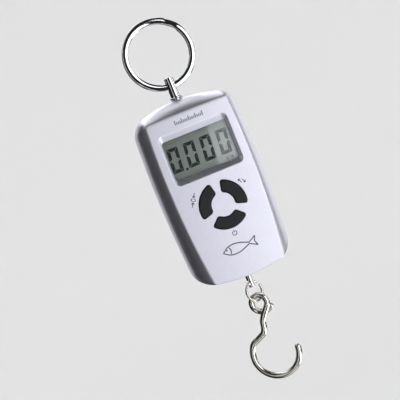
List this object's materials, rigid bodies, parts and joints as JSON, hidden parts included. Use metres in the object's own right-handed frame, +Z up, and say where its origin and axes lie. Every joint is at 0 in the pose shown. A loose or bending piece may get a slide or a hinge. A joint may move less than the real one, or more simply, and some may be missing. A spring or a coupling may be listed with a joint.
{
  "type": "digital hanging scale",
  "caption": "Pocket digital hanging scale in a two-part silver case, held by a split ring on a post, with a display, arc-shaped keys and a wire hook on a link.",
  "frame": {"origin": "inside top of the split ring, where the finger or peg that holds the scale bears", "axes": "+Z up along the load line as the scale hangs, front face towards -Y, +X to the right seen from the front"},
  "size_m": [0.052, 0.0224, 0.1826],
  "materials": {
    "silver_paint": "moulded ABS under fine silver paint, satin",
    "chrome": "bright chrome plate on steel",
    "nickel": "bright nickel plate on steel",
    "steel": "zinc-plated steel",
    "aluminium": "milled aluminium",
    "brass": "turned brass",
    "grey_rubber": "matt charcoal rubber",
    "mat_rubber": "matt grey silicone",
    "clear_plastic": "clear polished acrylic",
    "display_green": "grey-green liquid crystal glass",
    "white_plastic": "moulded, matt",
    "black_plastic": "moulded, matt",
    "board_green": "glass-epoxy board with green resist",
    "resin_black": "cast epoxy",
    "gauge_foil": "polyimide foil",
    "sleeve_red": "extruded sleeve",
    "sleeve_black": "extruded sleeve",
    "sleeve_grey": "extruded sleeve",
    "cell_wrap": "plain printed foil sleeve"
  },
  "bodies": {
    "ring": {"split_ring": "chrome"},
    "case": {"front_shell": "silver_paint", "rear_shell": "silver_paint", "display_window": "clear_plastic", "lcd_glass": "display_green", "lcd_frame": "white_plastic", "zebra_strip_upper": "grey_rubber", "zebra_strip_lower": "grey_rubber", "keypad_mat": "mat_rubber", "hanger_post": "chrome", "post_clamp_nut": "brass", "post_locknut": "brass", "draw_bar": "chrome", "draw_bar_locknut": "brass", "load_cell": "aluminium", "strain_gauge_left": "gauge_foil", "strain_gauge_right": "gauge_foil", "main_board": "board_green", "controller_blob": "resin_black", "crystal_can": "steel", "capacitor": "sleeve_black", "adc_chip": "resin_black", "battery_tray": "black_plastic", "battery_left": "cell_wrap", "battery_right": "cell_wrap", "battery_spring_left": "steel", "battery_spring_right": "steel", "positive_contact": "steel", "negative_contact": "steel", "bridge_contact": "steel", "battery_lead_red": "sleeve_red", "battery_lead_black": "sleeve_black", "gauge_lead": "sleeve_grey", "case_screw_upper_left": "steel", "case_screw_upper_right": "steel", "case_screw_lower_left": "steel", "case_screw_lower_right": "steel", "board_screw_upper_left": "steel", "board_screw_upper_right": "steel", "board_screw_lower_left": "steel", "board_screw_lower_right": "steel"},
    "battery_door": {"battery_door": "silver_paint"},
    "key_unit": {"key_unit": "grey_rubber"},
    "key_tare": {"key_tare": "grey_rubber"},
    "key_power": {"key_power": "grey_rubber"},
    "link": {"link_ring": "nickel"},
    "hook": {"hook": "nickel"}
  },
  "joints": [
    {"name": "case_swing", "type": "hinge", "parent": "ring", "child": "case", "pos_m": [0, 0, -0.0304], "axis": [1, 0, 0], "range_deg": [-100, 100]},
    {"name": "link_swing", "type": "hinge", "parent": "case", "child": "link", "pos_m": [0, 0, -0.1308], "axis": [0.8572, 0.515, 0], "range_deg": [-45, 45]},
    {"name": "hook_sway", "type": "hinge", "parent": "link", "child": "hook", "pos_m": [0, 0, -0.13548], "axis": [-0.515, 0.8572, 0], "range_deg": [-45, 45]},
    {"name": "battery_door_slide", "type": "slide", "parent": "case", "child": "battery_door", "axis": [0, 0, -1], "range_m": [0, 0.05]},
    {"name": "key_unit_press", "type": "slide", "parent": "case", "child": "key_unit", "axis": [0, 1, 0], "range_m": [0, 0.0007], "stiffness_N_per_m": 1500},
    {"name": "key_tare_press", "type": "slide", "parent": "case", "child": "key_tare", "axis": [0, 1, 0], "range_m": [0, 0.0007], "stiffness_N_per_m": 1500},
    {"name": "key_power_press", "type": "slide", "parent": "case", "child": "key_power", "axis": [0, 1, 0], "range_m": [0, 0.0007], "stiffness_N_per_m": 1500}
  ]
}
